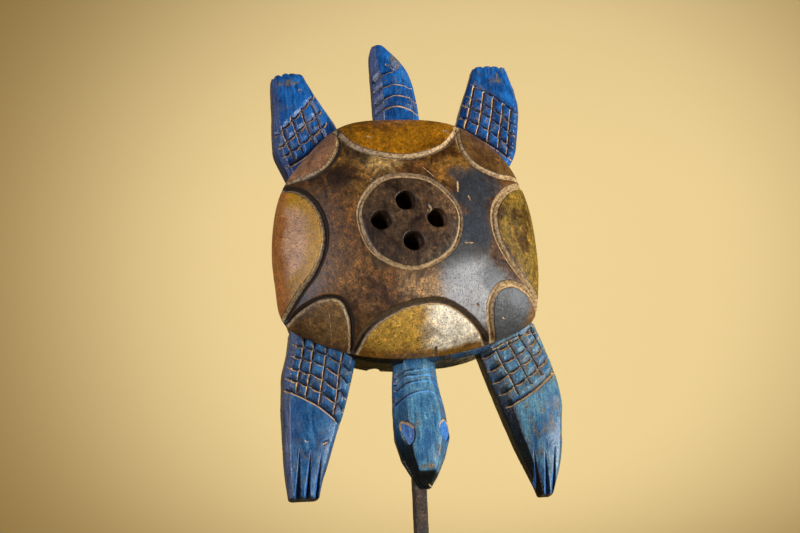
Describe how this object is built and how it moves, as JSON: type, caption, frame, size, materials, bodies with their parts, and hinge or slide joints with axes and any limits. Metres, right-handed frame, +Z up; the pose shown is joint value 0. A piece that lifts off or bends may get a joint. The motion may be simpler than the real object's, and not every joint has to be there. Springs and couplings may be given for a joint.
{
  "type": "carved wooden tortoise on a bar stand",
  "caption": "Carved and painted wooden tortoise with a domed grooved shell, displayed upright with its head down on a square iron bar and plate; lifts off its bar.",
  "frame": {"origin": "centre of the base plate's underside, on the bar's axis", "axes": "+Z up along the bar; the shell faces -Y; +X to the right of a viewer who faces the shell"},
  "size_m": [0.2693, 0.18, 0.5877],
  "materials": {
    "stained_shell_wood": "waxed, mottled dark brown stain",
    "blue_painted_wood": "worn blue paint on carved wood",
    "peg_wood": "bare wood",
    "rusty_iron": "rusty",
    "screw_steel": "dull zinc"
  },
  "bodies": {
    "stand": {"bar": "rusty_iron", "base_plate": "rusty_iron", "base_screw": "screw_steel"},
    "figure": {"carapace": "stained_shell_wood", "belly_block": "blue_painted_wood", "head": "blue_painted_wood", "tail": "blue_painted_wood", "leg_front_left": "blue_painted_wood", "leg_front_right": "blue_painted_wood", "leg_rear_left": "blue_painted_wood", "leg_rear_right": "blue_painted_wood", "peg_head": "peg_wood", "peg_tail": "peg_wood", "peg_leg_front_left": "peg_wood", "peg_leg_front_right": "peg_wood", "peg_leg_rear_left": "peg_wood", "peg_leg_rear_right": "peg_wood", "shell_dowel_rear_right": "peg_wood", "shell_dowel_rear_left": "peg_wood", "shell_dowel_front_left": "peg_wood", "shell_dowel_front_right": "peg_wood"}
  },
  "joints": [
    {"name": "figure_lift", "type": "slide", "parent": "stand", "child": "figure", "axis": [0, 0, 1], "range_m": [0, 0.07]}
  ]
}
